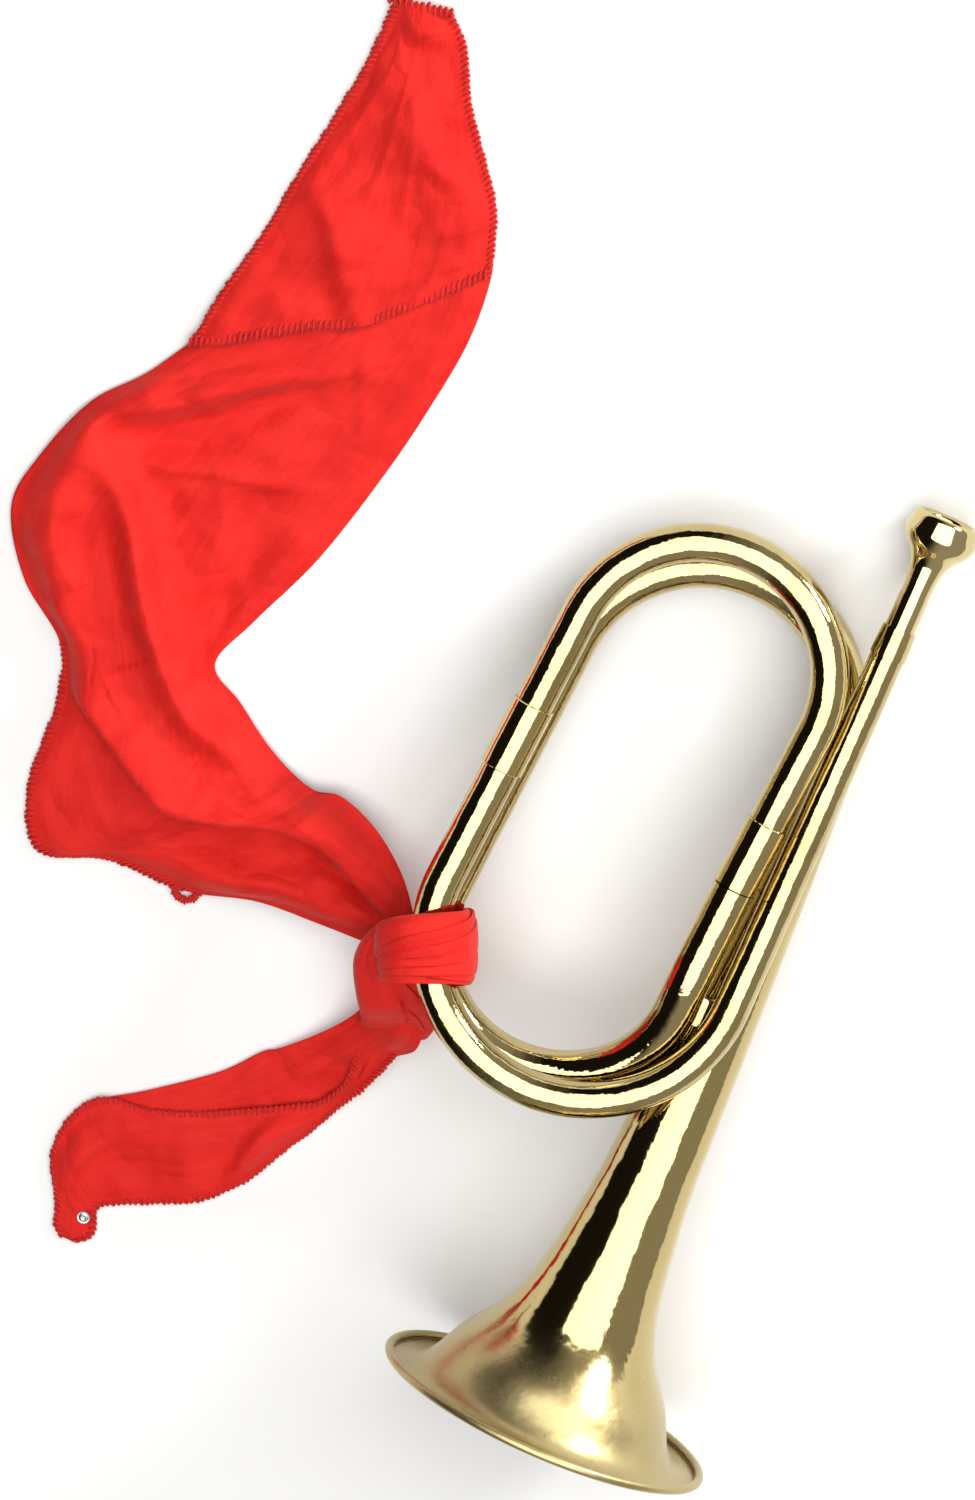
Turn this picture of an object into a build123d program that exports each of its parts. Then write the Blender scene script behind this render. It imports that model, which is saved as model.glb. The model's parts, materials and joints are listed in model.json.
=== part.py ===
"""A brass bugle of two turns, lying on a table with a kerchief tied round its bows.

The bugle is drawn in its own frame. The origin is the centre of the bell's mouth, +Y runs along
the bell's axis to the mouthpiece end, -X is the side of the loops, and +Z is the front, where
the mouthpipe lies over the bell's stem. At the end everything is laid down together, so that it
rests on the rim of the bell, the rim of the mouthpiece and the wrapped bows.
"""

from build123d import *
import math
import os

# Bell: outside radius against distance from the mouth, and the rolled lip
bell_length = 221.0
stem_top_radius = 7.2
stem_contour = ((7.2, 221.0), (10.0, 170.0), (12.2, 125.0), (13.95, 88.0))
flare_contour = ((16.9, 60.0), (20.4, 41.0), (26.2, 27.0), (35.0, 13.8))
lip_start_radius = 47.5
rim_radius = 51.1
bead_radius = 1.45
bead_slit = 0.5
wire_radius = 0.75
bell_wall = 0.7

# Drawn tubes
tube_wall = 0.6
pipe_radius = 5.2
pipe_foot_radius = 5.6
front_tube_radius = 5.85
downpipe_radius = 6.4
second_bow_radius_start = 6.7
second_bow_radius_end = 6.9
second_riser_radius = 6.95

# Centre lines of the front turn
front_height = 18.2
pipe_x = 1.7
pipe_tilt = 3.0
pipe_length = 114.7
pipe_knee_radius = 143.0
pipe_knee_leg = 5.1
first_bow_level = 142.9
first_bow_turn = 47.3
loop_lean = 3.6
first_riser_length = 36.1
sleeve_length = 22.0
tuning_leg_length = 31.1
tuning_bow_turn = 39.2

# Centre lines of the back turn
back_height = 4.7
downpipe_end = (-13.6, 135.5)
downpipe_bend_radius = 60.0
second_bow_turn = 38.6
second_bow_tilt = 15.3

# Tuning slide and mouthpiece fits
slide_clearance = 0.05
sleeve_radius = 6.5
sleeve_chamfer = 0.3
socket_depth = 3.7
solder_gap = 0.03
butt_gap = 0.2
receiver_length = 9.2
receiver_overlap = 4.0
receiver_radius = 5.6
receiver_mouth_radius = 5.25
shank_radius = 4.62
shank_tip_radius = 4.4
shank_inside = 19.0
shank_outside = 10.8
cup_height = 36.0
spigot_radius = 3.5
spigot_length = 7.0
throat_radius = 2.0

# How it lies, and the kerchief
pitch = -9.85
roll = -2.9
cloth_thickness = 4.0
cloth_clearance = 0.35
wrap_margin = 4.0
wrap_length = 20.0
ring_radius = 3.6
ring_cord_radius = 1.2
stud_radius = 2.2
stud_height = 1.4
wrap_share = 0.855
knot_center = (-101.0, 107.0, 8.0)
knot_radius = 13.0

lean = (math.sin(math.radians(loop_lean)), math.cos(math.radians(loop_lean)))
leaning = Vector(*lean)


def rod_along(path, start_radius, end_radius):
    """A tapering round rod that follows a path."""
    with BuildPart() as rod:
        with BuildSketch(Plane(path @ 0, z_dir=path % 0)):
            Circle(start_radius)
        with BuildSketch(Plane(path @ 1, z_dir=path % 1)):
            Circle(end_radius)
        sweep(path=path, multisection=True)
    return rod.part


# ---------------------------------------------------------------- centre lines, in blowing order
pipe_rise = math.tan(math.radians(pipe_tilt)) * pipe_length
knee_y = first_bow_level + pipe_knee_leg
with BuildLine(Plane.YZ.offset(pipe_x)) as pipe_line:
    FilletPolyline(
        (knee_y + pipe_length, front_height - pipe_rise),
        (knee_y, front_height),
        (first_bow_level, front_height),
        radius=pipe_knee_radius,
    )
pipe_path = pipe_line.wire()

with BuildLine() as first_bow_line:
    JernArc(pipe_path @ 1, (0, -1), first_bow_turn, -(180 + loop_lean))
first_bow_path = first_bow_line.wire()

with BuildLine() as first_riser_line:
    PolarLine(first_bow_path @ 1, first_riser_length, direction=leaning)
first_riser_path = first_riser_line.wire()

left_foot = first_riser_path @ 1
slide_leg = sleeve_length - socket_depth + tuning_leg_length
with BuildLine() as tuning_line:
    left_leg = PolarLine(left_foot + leaning * socket_depth, slide_leg, direction=leaning)
    bend = JernArc(left_leg @ 1, left_leg % 1, tuning_bow_turn, -180)
    PolarLine(bend @ 1, slide_leg, direction=leaning * -1)
tuning_path = tuning_line.wire()

right_foot = (tuning_path @ 1) - leaning * socket_depth
bow_drop = math.radians(second_bow_tilt)
downpipe_low = Vector(
    *downpipe_end, back_height + second_bow_turn * math.sin(bow_drop)
)
knee_reach = (front_height - downpipe_low.Z) / math.tan(bow_drop)
downpipe_knee = Vector(downpipe_low.X, downpipe_low.Y + knee_reach, front_height)
with BuildLine() as downpipe_line:
    FilletPolyline(right_foot - leaning * butt_gap, downpipe_knee, downpipe_low, radius=downpipe_bend_radius)
downpipe_path = downpipe_line.wire()

bow_bottom = Vector(
    downpipe_low.X - second_bow_turn,
    downpipe_low.Y - second_bow_turn * math.cos(bow_drop),
    back_height,
)
falling = Plane(
    (bow_bottom.X, downpipe_low.Y, downpipe_low.Z),
    x_dir=(1, 0, 0),
    z_dir=(0, -math.sin(bow_drop), math.cos(bow_drop)),
)
with BuildLine(falling) as second_bow_fall:
    JernArc((second_bow_turn, 0), (0, -1), second_bow_turn, -90)
with BuildLine() as second_bow_flat:
    JernArc(bow_bottom, (-1, 0), second_bow_turn, -(90 + loop_lean))
second_fall_path = second_bow_fall.wire()
second_flat_path = second_bow_flat.wire()

second_riser_foot = second_flat_path @ 1
crossover_span = -second_riser_foot.X - lean[0] * (bell_length - second_riser_foot.Y) / lean[1]
crossover_reach = math.hypot(crossover_span, back_height)
crossover_turn = crossover_reach / (1 + lean[1])
crossing = Plane(
    (0, bell_length, 0),
    x_dir=(-crossover_span, 0, back_height),
    z_dir=(-back_height, 0, -crossover_span),
)
with BuildLine(crossing) as crossover_line:
    JernArc((0, 0), (0, 1), crossover_turn, -(180 - loop_lean))
crossover_path = crossover_line.wire()
with BuildLine() as second_riser_line:
    Line(second_riser_foot, crossover_path @ 1)
second_riser_path = second_riser_line.wire()

# Whole rods, which shape the solder saddles and the kerchief's passage
pipe_rod = rod_along(pipe_path, pipe_radius, pipe_foot_radius)
first_bow_rod = rod_along(first_bow_path, pipe_foot_radius, front_tube_radius)
first_riser_rod = rod_along(first_riser_path, front_tube_radius, front_tube_radius)
tuning_rod = rod_along(tuning_path, front_tube_radius, front_tube_radius)
downpipe_rod = rod_along(downpipe_path, downpipe_radius, second_bow_radius_start)
second_fall_rod = rod_along(second_fall_path, second_bow_radius_start, second_bow_radius_end)
second_flat_rod = rod_along(second_flat_path, second_bow_radius_end, second_bow_radius_end)
second_riser_rod = rod_along(second_riser_path, second_bow_radius_end, second_riser_radius)
crossover_rod = rod_along(crossover_path, stem_top_radius, second_riser_radius)

# ---------------------------------------------------------------- mouthpiece, on the pipe's axis
pipe_end = pipe_path @ 0
blow_way = pipe_path % 0
receiver_mouth = pipe_end - blow_way * (receiver_length - receiver_overlap)
mouth = Plane(receiver_mouth, x_dir=(1, 0, 0), z_dir=blow_way * -1)
profile = Plane(mouth.origin, x_dir=mouth.x_dir, z_dir=mouth.x_dir.cross(mouth.z_dir))
mouth_axis = Axis(mouth.origin, mouth.z_dir)

with BuildPart() as mouthpiece_cup:
    with BuildSketch(profile):
        with BuildLine():
            Polyline(
                (throat_radius, shank_outside - spigot_length),
                (spigot_radius, shank_outside - spigot_length),
                (spigot_radius, shank_outside),
                (4.45, shank_outside),
            )
            Spline(
                (4.45, shank_outside),
                (4.75, 16.6),
                (6.4, 22.6),
                (8.4, 25.0),
                (11.2, 29.8),
                tangents=((0, 1), (0.25, 1)),
            )
            Spline(
                (11.2, 29.8),
                (10.6, 33.4),
                (9.2, cup_height),
                (7.6, 34.6),
                tangents=((0.05, 1), (-0.2, -1)),
            )
            Spline(
                (7.6, 34.6),
                (5.6, 28.6),
                (throat_radius, 24.6),
                tangents=((-0.1, -1), (-0.6, -1)),
            )
            Line((throat_radius, 24.6), (throat_radius, shank_outside - spigot_length))
        make_face()
    revolve(axis=mouth_axis)
mouthpiece_cup.part.label = "mouthpiece_cup"

with BuildPart() as mouthpiece_shank:
    with BuildSketch(profile):
        with BuildLine():
            Polyline(
                (throat_radius + 0.4, -shank_inside),
                (shank_tip_radius, -shank_inside),
                (shank_radius, 0),
                (shank_radius, shank_outside),
                (spigot_radius + solder_gap, shank_outside),
                (spigot_radius + solder_gap, shank_outside - spigot_length),
                (throat_radius, shank_outside - spigot_length),
                close=True,
            )
        make_face()
    revolve(axis=mouth_axis)
mouthpiece_shank.part.label = "mouthpiece_shank"

with BuildPart() as mouthpiece_receiver:
    with BuildSketch(profile):
        with BuildLine():
            Polyline(
                (shank_radius + slide_clearance, 0),
                (receiver_mouth_radius, 0),
                (receiver_radius, -0.8 * receiver_length),
                (receiver_radius, -receiver_length),
                (pipe_radius + solder_gap, -receiver_length),
                (pipe_radius + solder_gap, receiver_overlap - receiver_length),
                (shank_radius + slide_clearance, receiver_overlap - receiver_length),
                close=True,
            )
        make_face()
    revolve(axis=mouth_axis)
mouthpiece_receiver.part.label = "mouthpiece_receiver"

# ---------------------------------------------------------------- front turn
with BuildPart() as mouthpipe:
    add(pipe_rod)
    add(
        rod_along(pipe_path, shank_radius + slide_clearance, pipe_foot_radius - tube_wall),
        mode=Mode.SUBTRACT,
    )
mouthpipe.part.label = "mouthpipe"

with BuildPart() as first_bow:
    add(first_bow_rod)
    add(
        rod_along(
            first_bow_path, pipe_foot_radius - tube_wall, front_tube_radius - tube_wall
        ),
        mode=Mode.SUBTRACT,
    )
first_bow.part.label = "first_bow"

with BuildLine() as socket_line:
    PolarLine(left_foot, socket_depth - 2 * slide_clearance, direction=leaning)
with BuildPart() as first_riser:
    add(first_riser_rod)
    add(rod_along(socket_line.wire(), front_tube_radius, front_tube_radius))
    with BuildSketch(Plane(first_riser_path @ 0, z_dir=first_riser_path % 0)):
        Circle(front_tube_radius - tube_wall)
    extrude(amount=first_riser_length + socket_depth, mode=Mode.SUBTRACT)
first_riser.part.label = "first_riser"

with BuildPart() as tuning_bow:
    add(tuning_rod)
    add(
        rod_along(
            tuning_path, front_tube_radius - tube_wall, front_tube_radius - tube_wall
        ),
        mode=Mode.SUBTRACT,
    )
tuning_bow.part.label = "tuning_bow"


def slide_sleeve(foot):
    """One of the two outer sleeves that the tuning bow's legs slide in."""
    with BuildPart() as sleeve:
        with BuildSketch(Plane(foot, z_dir=leaning)):
            Circle(sleeve_radius)
            Circle(front_tube_radius + slide_clearance, mode=Mode.SUBTRACT)
        extrude(amount=sleeve_length)
        outer_edges = sleeve.edges().filter_by(GeomType.CIRCLE).group_by(SortBy.RADIUS)[-1]
        chamfer(outer_edges, length=sleeve_chamfer)
    return sleeve.part


with BuildPart() as left_slide_sleeve:
    add(slide_sleeve(left_foot))
left_slide_sleeve.part.label = "left_slide_sleeve"

with BuildPart() as right_slide_sleeve:
    add(slide_sleeve(right_foot))
right_slide_sleeve.part.label = "right_slide_sleeve"

# ---------------------------------------------------------------- back turn
with BuildPart() as inner_downpipe:
    add(downpipe_rod)
    add(
        rod_along(
            downpipe_path, downpipe_radius - tube_wall, second_bow_radius_start - tube_wall
        ),
        mode=Mode.SUBTRACT,
    )
inner_downpipe.part.label = "inner_downpipe"

with BuildPart() as second_bow:
    add(second_fall_rod)
    add(second_flat_rod)
    add(
        rod_along(
            second_fall_path,
            second_bow_radius_start - tube_wall,
            second_bow_radius_end - tube_wall,
        ),
        mode=Mode.SUBTRACT,
    )
    add(
        rod_along(
            second_flat_path,
            second_bow_radius_end - tube_wall,
            second_bow_radius_end - tube_wall,
        ),
        mode=Mode.SUBTRACT,
    )
second_bow.part.label = "second_bow"

with BuildPart() as second_riser:
    add(second_riser_rod)
    add(
        rod_along(
            second_riser_path,
            second_bow_radius_end - tube_wall,
            second_riser_radius - tube_wall,
        ),
        mode=Mode.SUBTRACT,
    )
second_riser.part.label = "second_riser"

with BuildPart() as crossover_bow:
    add(crossover_rod)
    add(
        rod_along(
            crossover_path, stem_top_radius - bell_wall, second_riser_radius - tube_wall
        ),
        mode=Mode.SUBTRACT,
    )
crossover_bow.part.label = "crossover_bow"

# ---------------------------------------------------------------- bell
def stand_off(curve, distance, steps):
    """Points on the right-hand side of a flat curve, at an even distance from it."""
    points = []
    for step in range(steps + 1):
        along = curve % (step / steps)
        points.append(curve @ (step / steps) + Vector(along.Y, -along.X) * distance)
    return points


with BuildPart() as bell_stem:
    with BuildSketch(Plane.XY):
        with BuildLine():
            stem_side = Spline(*stem_contour)
            stem_bore = Spline(
                *stand_off(stem_side, bell_wall, 4), tangents=(stem_side % 0, stem_side % 1)
            )
            Line(stem_side @ 0, stem_bore @ 0)
            Line(stem_side @ 1, stem_bore @ 1)
        make_face()
    revolve(axis=Axis.Y)
bell_stem.part.label = "bell_stem"

with BuildPart() as bell_flare:
    with BuildSketch(Plane.XY):
        with BuildLine():
            flare_side = Spline(
                stem_contour[-1],
                *flare_contour,
                (lip_start_radius, bell_wall),
                tangents=(stem_side % 1, (1, 0)),
            )
            flare_bore = Spline(
                *stand_off(flare_side, bell_wall, 8),
                tangents=(flare_side % 0, flare_side % 1),
            )
            Line(flare_side @ 0, flare_bore @ 0)
            Polyline(
                flare_side @ 1, (rim_radius, bell_wall), (rim_radius, 0), flare_bore @ 1
            )
        make_face()
    revolve(axis=Axis.Y)
    with BuildSketch(Plane.XY):
        with Locations((rim_radius, bead_radius)):
            Circle(bead_radius)
            Circle(wire_radius + slide_clearance, mode=Mode.SUBTRACT)
        with Locations((rim_radius - bead_radius, bead_radius)):
            Rectangle(2 * bead_radius, bead_slit, mode=Mode.SUBTRACT)
    revolve(axis=Axis.Y)
bell_flare.part.label = "bell_flare"

with BuildPart() as rim_wire:
    with BuildSketch(Plane.XY):
        with Locations((rim_radius, bead_radius)):
            Circle(wire_radius)
    revolve(axis=Axis.Y)
rim_wire.part.label = "rim_wire"

# ---------------------------------------------------------------- soldered saddles
with BuildPart() as stem_rod:
    with BuildSketch(Plane.XY):
        with BuildLine():
            Spline(*stem_contour)
            Polyline(
                stem_contour[-1],
                (0, stem_contour[-1][1]),
                (0, bell_length),
                stem_contour[0],
            )
        make_face()
    revolve(axis=Axis.Y)


def saddle(center, size, rods):
    """A small solder block between two tubes, hollowed where each tube lies in it."""
    with BuildPart() as block:
        with Locations(Location(center)):
            Box(*size)
        fillet(block.edges().filter_by(Axis.Z), radius=1.2)
        for rod in rods:
            add(rod, mode=Mode.SUBTRACT)
        middle = block.solids().sort_by(lambda solid: (solid.center() - Vector(center)).length)
    return middle[0]


with BuildPart() as stem_saddle_upper:
    add(saddle((0.8, 212.0, 9.2), (4.6, 11.0, 8.0), (pipe_rod, stem_rod.part)))
stem_saddle_upper.part.label = "stem_saddle_upper"

with BuildPart() as stem_saddle_lower:
    add(saddle((0.8, 153.0, 12.0), (4.6, 11.0, 8.0), (pipe_rod, stem_rod.part)))
stem_saddle_lower.part.label = "stem_saddle_lower"

with BuildPart() as riser_saddle:
    add(saddle((-90.6, 165.0, 11.8), (5.0, 10.0, 8.0), (first_riser_rod, second_riser_rod)))
riser_saddle.part.label = "riser_saddle"

with BuildPart() as bow_saddle:
    add(saddle((-49.0, 97.2, 11.8), (11.0, 4.6, 8.0), (first_bow_rod, second_fall_rod,
                                                      second_flat_rod)))
bow_saddle.part.label = "bow_saddle"

with BuildPart() as downpipe_saddle:
    add(saddle((-9.0, 137.0, 9.6), (8.0, 9.0, 8.0), (downpipe_rod, second_fall_rod,
                                                    stem_rod.part)))
downpipe_saddle.part.label = "downpipe_saddle"

# ---------------------------------------------------------------- how it lies on the table
attitude = Location((0, 0, 0), (pitch, roll, 0))
slope = math.radians(pitch)
table_drop = rim_radius * math.cos(slope) + bead_radius * (1 - math.sin(slope))
table = Plane(attitude.inverse()).offset(-table_drop)


def upright(place, facing):
    """A plane that stands on the table at a place in the table's own measure."""
    return Plane(
        table.from_local_coords(Vector(*place)),
        x_dir=table.z_dir,
        z_dir=table.from_local_coords(Vector(*facing)) - table.origin,
    )


# ---------------------------------------------------------------- kerchief, in the table's measure
with BuildPart() as scarf_long_tail:
    with BuildSketch(table):
        with BuildLine():
            Polyline((-150.0, 141.0), (-160.0, 152.0), (-181.0, 164.0), (-165.0, 220.0))
            Spline((-165.0, 220.0), (-154.0, 275.0), (-157.0, 328.0))
            Polyline(
                (-157.0, 328.0),
                (-166.0, 337.0),
                (-193.0, 382.0),
                (-207.0, 382.0),
                (-226.0, 254.0),
                (-246.0, 230.0),
                (-257.0, 196.0),
                (-257.0, 181.0),
                (-229.0, 153.0),
                (-218.0, 102.0),
                (-208.0, 85.0),
                (-171.0, 88.5),
                (-168.0, 99.5),
                (-150.0, 100.0),
                (-150.0, 141.0),
            )
        make_face()
    extrude(amount=cloth_thickness)
    with BuildSketch(upright((-116.0, 121.0, 27.0), (1, 0, 0))):
        RectangleRounded(14.0, 26.0, 4.0)
    with BuildSketch(upright((-134.0, 120.0, 10.0), (1, 0, 0))):
        RectangleRounded(9.0, 36.0, 4.0)
    with BuildSketch(upright((-155.0, 120.0, 2.0), (1, 0, 0))):
        RectangleRounded(3.9, 40.0, 1.5)
    loft()
scarf_long_tail.part.label = "scarf_long_tail"

with BuildPart() as scarf_short_tail:
    with BuildSketch(table):
        with BuildLine():
            Polyline((-92.0, 52.0), (-102.0, 20.0), (-111.0, 4.0), (-143.0, -13.0))
            Polyline((-143.0, -13.0), (-144.5, -22.0))
            Spline((-144.5, -22.0), (-152.0, -29.5), (-160.0, -20.0))
            Polyline(
                (-160.0, -20.0),
                (-167.5, 4.0),
                (-163.0, 17.0),
                (-139.0, 30.0),
                (-119.0, 55.0),
                (-92.0, 52.0),
            )
        make_face()
    extrude(amount=cloth_thickness)
    with BuildSketch(upright((-92.0, 89.0, 24.0), (0, -1, 0))):
        RectangleRounded(12.0, 24.0, 4.0)
    with BuildSketch(upright((-98.0, 70.0, 9.0), (0, -1, 0))):
        RectangleRounded(8.0, 25.0, 3.5)
    with BuildSketch(upright((-108.0, 46.0, 2.0), (0, -1, 0))):
        RectangleRounded(3.9, 26.0, 1.5)
    loft()
scarf_short_tail.part.label = "scarf_short_tail"

wrap_place = first_bow_path.position_at(wrap_share)
wrap_way = first_bow_path.tangent_at(wrap_share)
wrap_low = back_height - second_bow_radius_end - wrap_margin
wrap_high = front_height + front_tube_radius + wrap_margin
with BuildPart() as scarf_knot:
    with BuildSketch(Plane((wrap_place.X, wrap_place.Y, wrap_low), x_dir=wrap_way)):
        RectangleRounded(wrap_length, 2 * (second_bow_radius_end + wrap_margin), 5.0)
    extrude(amount=wrap_high - wrap_low)
    fillet(scarf_knot.faces().sort_by(Axis.Z)[-1].edges(), radius=3.0)
    fillet(scarf_knot.faces().sort_by(Axis.Z)[0].edges(), radius=3.0)
    with Locations(Location(knot_center)):
        Sphere(knot_radius)
    for path, radius in (
        (first_bow_path, front_tube_radius),
        (second_flat_path, second_bow_radius_end),
    ):
        passage = radius + cloth_clearance
        add(rod_along(path, passage, passage), mode=Mode.SUBTRACT)
scarf_knot.part.label = "scarf_knot"

loop_center = table.from_local_coords(Vector(-162.0, 93.0, ring_cord_radius))
with BuildPart() as scarf_loop:
    with BuildSketch(Plane(loop_center, x_dir=table.z_dir, z_dir=table.x_dir)):
        with Locations((0, ring_radius)):
            Circle(ring_cord_radius)
    revolve(axis=Axis(loop_center, table.z_dir))
scarf_loop.part.label = "scarf_loop"

with BuildPart() as scarf_stud:
    with BuildSketch(table.offset(cloth_thickness)):
        with Locations((-150.5, -20.5)):
            Circle(stud_radius)
    extrude(amount=stud_height)
    upward = Axis(table.origin, table.z_dir)
    fillet(scarf_stud.edges().filter_by(GeomType.CIRCLE).sort_by(upward)[-1], radius=0.9)
scarf_stud.part.label = "scarf_stud"

# ---------------------------------------------------------------- laid down and written out
pieces = (
    mouthpiece_cup,
    mouthpiece_shank,
    mouthpiece_receiver,
    mouthpipe,
    first_bow,
    first_riser,
    left_slide_sleeve,
    tuning_bow,
    right_slide_sleeve,
    inner_downpipe,
    second_bow,
    second_riser,
    crossover_bow,
    bell_stem,
    bell_flare,
    rim_wire,
    stem_saddle_upper,
    stem_saddle_lower,
    riser_saddle,
    bow_saddle,
    downpipe_saddle,
    scarf_long_tail,
    scarf_knot,
    scarf_short_tail,
    scarf_loop,
    scarf_stud,
)
laid = Compound(children=[piece.part.moved(attitude) for piece in pieces]).bounding_box()
set_down = Location((-laid.center().X, -laid.center().Y, -laid.min.Z)) * attitude

os.makedirs("parts", exist_ok=True)
for piece in pieces:
    export_step(piece.part.moved(set_down), f"parts/{piece.part.label}.step")
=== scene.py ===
import json
import math
import random

import bpy
import numpy as np
from mathutils import Matrix, Quaternion, Vector


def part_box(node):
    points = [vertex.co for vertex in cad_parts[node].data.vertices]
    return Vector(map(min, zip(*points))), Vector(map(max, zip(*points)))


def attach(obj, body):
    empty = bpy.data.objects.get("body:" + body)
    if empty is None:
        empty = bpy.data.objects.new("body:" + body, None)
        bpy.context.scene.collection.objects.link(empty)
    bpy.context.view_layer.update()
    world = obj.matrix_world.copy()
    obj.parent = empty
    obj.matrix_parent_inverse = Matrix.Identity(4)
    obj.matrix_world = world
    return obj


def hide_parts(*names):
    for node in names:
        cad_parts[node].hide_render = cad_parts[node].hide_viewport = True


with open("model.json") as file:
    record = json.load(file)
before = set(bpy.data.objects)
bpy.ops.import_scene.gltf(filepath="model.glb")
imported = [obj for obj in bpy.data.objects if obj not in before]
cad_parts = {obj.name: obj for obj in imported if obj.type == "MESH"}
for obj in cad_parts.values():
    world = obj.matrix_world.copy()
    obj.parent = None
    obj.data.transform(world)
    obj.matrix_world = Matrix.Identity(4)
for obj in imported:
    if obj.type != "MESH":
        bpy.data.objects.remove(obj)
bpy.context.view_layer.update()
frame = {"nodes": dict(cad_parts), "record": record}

mm = 0.001


# ------------------------------------------------------------------------------------------ floor
# A wide pale studio floor. It is matt painted board, very slightly uneven in tone.
class Wire:
    """One output of a shader node. Arithmetic on wires adds Math nodes."""

    def __init__(self, tree, socket):
        self.tree = tree
        self.socket = socket

    def node(self, kind, inputs, output=0, **settings):
        """Adds a node, sets what it is and what feeds it, and returns one of its outputs."""
        made = self.tree.nodes.new("ShaderNode" + kind)
        for name, value in settings.items():
            setattr(made, name, value)
        for name, value in inputs.items():
            if isinstance(value, Wire):
                self.tree.links.new(value.socket, made.inputs[name])
            else:
                made.inputs[name].default_value = value
        return Wire(self.tree, made.outputs[output])

    def __add__(self, other):
        return self.node("Math", {0: self, 1: other}, operation="ADD")

    def __sub__(self, other):
        return self.node("Math", {0: self, 1: other}, operation="SUBTRACT")

    def __rsub__(self, other):
        return self.node("Math", {0: other, 1: self}, operation="SUBTRACT")

    def __mul__(self, other):
        return self.node("Math", {0: self, 1: other}, operation="MULTIPLY")

    def __abs__(self):
        return self.node("Math", {0: self}, operation="ABSOLUTE")

    __radd__ = __add__
    __rmul__ = __mul__


def new_finish(name, coordinates="Object"):
    """A material with a bare Principled shader, and its coordinates as a wire."""
    material = bpy.data.materials.new(name)
    material.use_nodes = True
    tree = material.node_tree
    tree.nodes.clear()
    output = tree.nodes.new("ShaderNodeOutputMaterial")
    skin = tree.nodes.new("ShaderNodeBsdfPrincipled")
    tree.links.new(skin.outputs[0], output.inputs[0])
    place = Wire(tree, tree.nodes.new("ShaderNodeTexCoord").outputs[coordinates])
    return material, skin, place


def feed(skin, name, wire):
    """Joins a wire to one of the shader's sockets."""
    wire.tree.links.new(wire.socket, skin.inputs[name])


def noise(place, scale, detail=2.0, roughness=0.5):
    """Cloudy noise, from 0 to 1, with scale blotches to the metre."""
    return place.node("TexNoise", {"Vector": place, "Scale": scale, "Detail": detail,
                                   "Roughness": roughness})


def between(value, low, high):
    """0 below low, 1 above high, and smooth between them."""
    return value.node("MapRange", {"Value": value, "From Min": low, "From Max": high},
                      interpolation_type="SMOOTHSTEP")


def mixed(mask, first, second):
    """Two colours mixed by a mask. The Mix node takes colours at 6 and 7 and gives one at 2."""
    first, second = (c if isinstance(c, Wire) else (*c, 1) for c in (first, second))
    return mask.node("Mix", {0: mask, 6: first, 7: second}, output=2, data_type="RGBA")


def bump(height, depth, under=None):
    """A bump of a height map whose white stands depth metres proud of its black."""
    inputs = {"Height": height, "Distance": depth, "Strength": 1.0}
    if under is not None:
        inputs["Normal"] = under
    return height.node("Bump", inputs)


def deselect():
    for thing in bpy.context.selected_objects:
        thing.select_set(False)


floor_size = 60.0
floor_pale = (0.74, 0.74, 0.735)
floor_grey = (0.70, 0.70, 0.695)

deselect()
bpy.ops.mesh.primitive_plane_add(size=floor_size, location=(0, 0, 0))
floor = bpy.context.object
floor.name = "floor"
floor_paint, skin, place = new_finish("floor_paint")
feed(skin, "Base Color", mixed(noise(place, 3.0, 4.0), floor_pale, floor_grey))
skin.inputs["Roughness"].default_value = 0.85
skin.inputs["Specular IOR Level"].default_value = 0.2
floor.data.materials.append(floor_paint)

# ----------------------------------------------------------------------------------------- camera
# A long lens looks down on the part from high up over the mouthpiece end, rolled so that the
# horn's axis leans over to the right.
eye_height = math.radians(69.45)
eye_side = math.radians(-171.85)
eye_roll = math.radians(164.56)
eye_distance = 3.0
view_length = 0.4539
aim = Vector((6.8 * mm, -3.8 * mm, 0))
film_height = 36.0
farthest = 30

to_eye = Vector((
    math.cos(eye_height) * math.sin(eye_side),
    -math.cos(eye_height) * math.cos(eye_side),
    math.sin(eye_height),
))
lens = bpy.data.cameras.new("camera")
camera = bpy.data.objects.new("camera", lens)
bpy.context.scene.collection.objects.link(camera)
lens.sensor_fit = "VERTICAL"
lens.sensor_height = film_height
lens.lens = film_height * eye_distance / view_length
lens.clip_end = farthest
camera.rotation_mode = "QUATERNION"
camera.rotation_quaternion = Quaternion(to_eye, -eye_roll) @ to_eye.to_track_quat("Z", "Y")
camera.location = aim + to_eye * eye_distance
bpy.context.scene.camera = camera
bpy.context.scene.view_settings.view_transform = "Standard"


# ----------------------------------------------------------------------------------------- lights
# One very large softbox hangs almost straight overhead, and draws the long cream streaks on the
# tubes. A small low lamp stands past the mouthpiece end, on the bell's side. The room itself is
# black on the loops' side and pale on the bell's side.
def softbox(name, direction, distance, width, length, radiance):
    """A flat lamp that faces the origin from a direction, with its sizes in metres."""
    light = bpy.data.lights.new(name, "AREA")
    light.shape = "RECTANGLE"
    light.size = width
    light.size_y = length
    light.energy = radiance * math.pi * width * length
    holder = bpy.data.objects.new(name, light)
    bpy.context.scene.collection.objects.link(holder)
    outward = Vector(direction).normalized()
    sideways = Vector((0, 1, 0)).cross(outward).normalized()
    lengthways = outward.cross(sideways)
    holder.rotation_mode = "QUATERNION"
    holder.rotation_quaternion = Matrix((sideways, lengthways, outward)).transposed().to_quaternion()
    holder.location = outward * distance
    holder.visible_camera = False


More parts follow.
